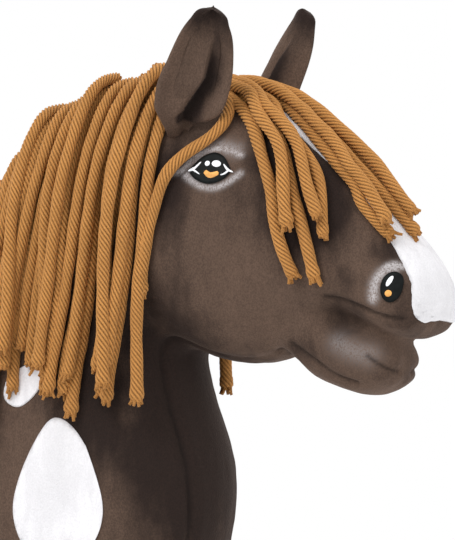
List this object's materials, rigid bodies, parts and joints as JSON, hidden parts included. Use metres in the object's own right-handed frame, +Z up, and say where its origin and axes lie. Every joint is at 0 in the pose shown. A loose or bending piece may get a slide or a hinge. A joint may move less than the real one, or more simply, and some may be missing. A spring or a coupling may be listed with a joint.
{
  "type": "hobby horse",
  "caption": "Plush hobby-horse head and neck with a twisted-yarn mane and forelock, stuffed, on a removable wooden stick with a rubber end cap.",
  "frame": {"origin": "centre of the stick's foot, on the flat underside of its rubber end cap", "axes": "+X towards the horse's nose, +Z up along the stick, the horse's right side at -Y"},
  "size_m": [0.4153, 0.1508, 0.8765],
  "materials": {
    "brown_plush": "matte",
    "dark_plush": "matte",
    "white_plush": "matte",
    "yarn": "matte",
    "fibrefill": "matte",
    "eye_fabric": "matte",
    "sleeve_liner": "matte",
    "beech": "satin",
    "cap_rubber": "matte"
  },
  "bodies": {
    "stick": {"stick": "beech", "stick_end_cap": "cap_rubber"},
    "head": {"right_side_panel": "brown_plush", "left_side_panel": "brown_plush", "blaze_panel": "white_plush", "throat_panel": "dark_plush", "upper_lip_panel": "dark_plush", "nose_tip": "dark_plush", "lower_jaw_panel": "brown_plush", "lower_lip_panel": "dark_plush", "chin_tip": "brown_plush", "jaw_stuffing": "fibrefill", "stuffing": "fibrefill", "stick_sleeve": "sleeve_liner", "neck_base_panel": "dark_plush", "right_eye": "eye_fabric", "left_eye": "eye_fabric", "right_nostril": "eye_fabric", "left_nostril": "eye_fabric", "right_large_spot": "white_plush", "left_large_spot": "white_plush", "right_small_spot": "white_plush", "left_small_spot": "white_plush", "mane_roll": "yarn", "forelock_strand_1": "yarn"},
    "right_ear": {"right_ear": "brown_plush", "right_ear_lining": "dark_plush"},
    "left_ear": {"left_ear": "brown_plush", "left_ear_lining": "dark_plush"},
    "right_mane": {"right_mane_lock_1": "yarn", "right_mane_lock_2": "yarn", "right_mane_lock_3": "yarn", "right_mane_lock_4": "yarn", "right_mane_lock_5": "yarn", "right_mane_lock_6": "yarn", "right_mane_lock_7": "yarn"},
    "left_mane": {"left_mane_lock_1": "yarn", "left_mane_lock_2": "yarn", "left_mane_lock_3": "yarn", "left_mane_lock_4": "yarn", "left_mane_lock_5": "yarn", "left_mane_lock_6": "yarn", "left_mane_lock_7": "yarn"},
    "forelock": {"forelock_strand_2": "yarn", "forelock_strand_3": "yarn", "forelock_strand_4": "yarn", "forelock_strand_5": "yarn", "forelock_strand_6": "yarn", "forelock_strand_7": "yarn", "forelock_strand_8": "yarn", "forelock_strand_9": "yarn"}
  },
  "joints": [
    {"name": "head_off_stick", "type": "slide", "parent": "stick", "child": "head", "axis": [0, 0, 1], "range_m": [0, 0.26]},
    {"name": "right_ear_bend", "type": "hinge", "parent": "head", "child": "right_ear", "pos_m": [0.109, -0.04, 0.791], "axis": [-0.8431, -0.4902, 0.2213], "range_deg": [-12, 12], "stiffness_Nm_per_rad": 0.08},
    {"name": "left_ear_bend", "type": "hinge", "parent": "head", "child": "left_ear", "pos_m": [0.109, 0.04, 0.791], "axis": [0.8431, -0.4902, -0.2213], "range_deg": [-12, 12], "stiffness_Nm_per_rad": 0.08},
    {"name": "right_mane_lift", "type": "hinge", "parent": "head", "child": "right_mane", "pos_m": [-0.055, 0, 0.759], "axis": [-0.7071, 0, -0.7071], "range_deg": [0, 45]},
    {"name": "left_mane_lift", "type": "hinge", "parent": "head", "child": "left_mane", "pos_m": [-0.055, 0, 0.759], "axis": [0.7071, 0, 0.7071], "range_deg": [0, 45]},
    {"name": "forelock_lift", "type": "hinge", "parent": "head", "child": "forelock", "pos_m": [0.15, 0, 0.804], "axis": [0, -1, 0], "range_deg": [0, 25]}
  ]
}
